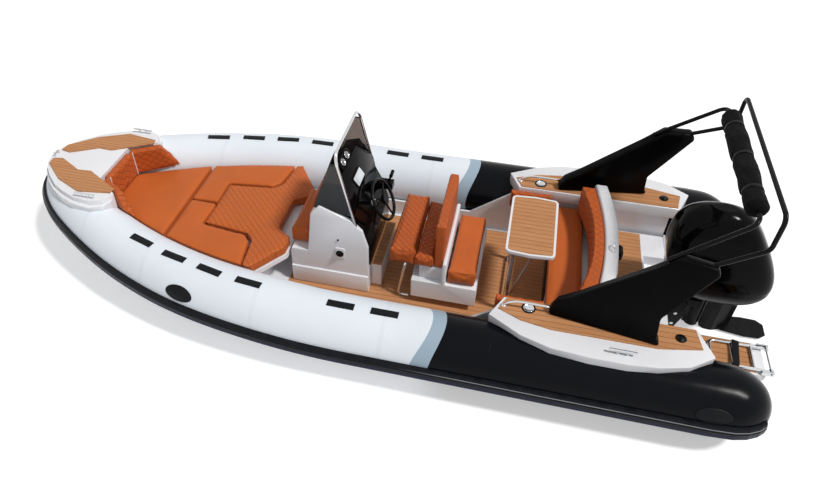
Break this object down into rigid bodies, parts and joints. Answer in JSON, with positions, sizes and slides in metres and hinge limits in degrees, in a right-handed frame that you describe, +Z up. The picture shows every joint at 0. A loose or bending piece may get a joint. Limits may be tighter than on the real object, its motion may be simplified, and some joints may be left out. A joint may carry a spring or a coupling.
{
  "type": "inflatable rib boat",
  "caption": "Rigid inflatable boat with centre console, bow sun pad, aft bench with table, raked arch and outboard engine, modelled afloat.",
  "frame": {"origin": "On the waterline and the centreline, 3.2 m forward of the tips of the stern cones.", "axes": "+X towards the bow, +Y to port, +Z up."},
  "size_m": [6.6446, 2.69, 2.6224],
  "materials": {
    "tube_white": "matt coated fabric",
    "tube_black": "satin coated fabric",
    "tube_grey": "matt coated fabric",
    "rail_black": "moulded rubber",
    "gelcoat": "polished gelcoat",
    "teak": "brushed synthetic teak with dark caulking",
    "stainless": "polished stainless steel",
    "upholstery": "stitched marine vinyl",
    "screen_tint": "smoked acrylic",
    "black_gloss": "polished gelcoat",
    "black_frame": "satin paint",
    "canvas_black": "woven cover",
    "engine_metal": "satin paint"
  },
  "bodies": {
    "boat": {"tube_bow": "tube_white", "tube_port": "tube_black", "tube_starboard": "tube_black", "tube_bands": "tube_grey", "rub_rail": "rail_black", "hull": "gelcoat", "cockpit_liner": "gelcoat", "sole_teak": "teak", "wear_strips": "rail_black", "nose_deck": "gelcoat", "nose_pads": "teak", "cleats": "stainless", "bow_base": "gelcoat", "bow_cushion_front": "upholstery", "bow_cushion_port": "upholstery", "bow_cushion_starboard": "upholstery", "bow_infill": "upholstery", "bow_backrest": "upholstery", "console": "gelcoat", "console_seat": "upholstery", "console_step": "gelcoat", "dash_pod": "black_gloss", "windscreen": "screen_tint", "screen_rail": "stainless", "throttle": "black_gloss", "helm_base": "gelcoat", "helm_box": "gelcoat", "helm_cushion": "upholstery", "helm_bolster": "upholstery", "helm_back": "upholstery", "aft_seat": "upholstery", "helm_rails": "stainless", "table_rim": "gelcoat", "table_teak": "teak", "table_leg": "stainless", "bench_base": "gelcoat", "bench_cushion": "upholstery", "bench_back": "upholstery", "side_bolsters": "upholstery", "side_deck_port": "gelcoat", "side_deck_starboard": "gelcoat", "aft_deck": "gelcoat", "swim_platforms": "gelcoat", "deck_teak": "teak", "arch_port": "black_gloss", "arch_starboard": "black_gloss", "arch_tubes": "black_frame", "canopy_roll": "canvas_black", "tow_post": "stainless", "ladder_hinge": "stainless", "clamp_bracket": "black_frame"},
    "wheel": {"steering_wheel": "black_frame"},
    "swivel": {"swivel_bracket": "black_frame"},
    "engine": {"outboard_leg": "black_frame", "cowl": "black_gloss", "powerhead": "engine_metal"},
    "propeller": {"propeller": "engine_metal"},
    "ladder": {"ladder": "stainless"}
  },
  "joints": [
    {"name": "steering_wheel_turn", "type": "hinge", "parent": "boat", "child": "wheel", "pos_m": [-0.145, 0, 0.83], "axis": [0.866, 0, -0.5], "range_deg": [-540, 540]},
    {"name": "engine_tilt", "type": "hinge", "parent": "boat", "child": "swivel", "pos_m": [-2.7, 0, 0.33], "axis": [0, 1, 0], "range_deg": [0, 30]},
    {"name": "engine_steer", "type": "hinge", "parent": "swivel", "child": "engine", "pos_m": [-2.87, 0, 0.33], "axis": [0, 0, 1], "range_deg": [-30, 30]},
    {"name": "propeller_spin", "type": "hinge", "parent": "engine", "child": "propeller", "pos_m": [-3.3, 0, -0.64], "axis": [1, 0, 0], "continuous": true},
    {"name": "ladder_fold", "type": "hinge", "parent": "boat", "child": "ladder", "pos_m": [-3.285, 0.59, 0.3208], "axis": [0, -1, 0], "range_deg": [0, 270]}
  ],
  "couplings": [
    {"joint": "steering_wheel_turn", "follows": "engine_steer", "ratio": 18}
  ]
}
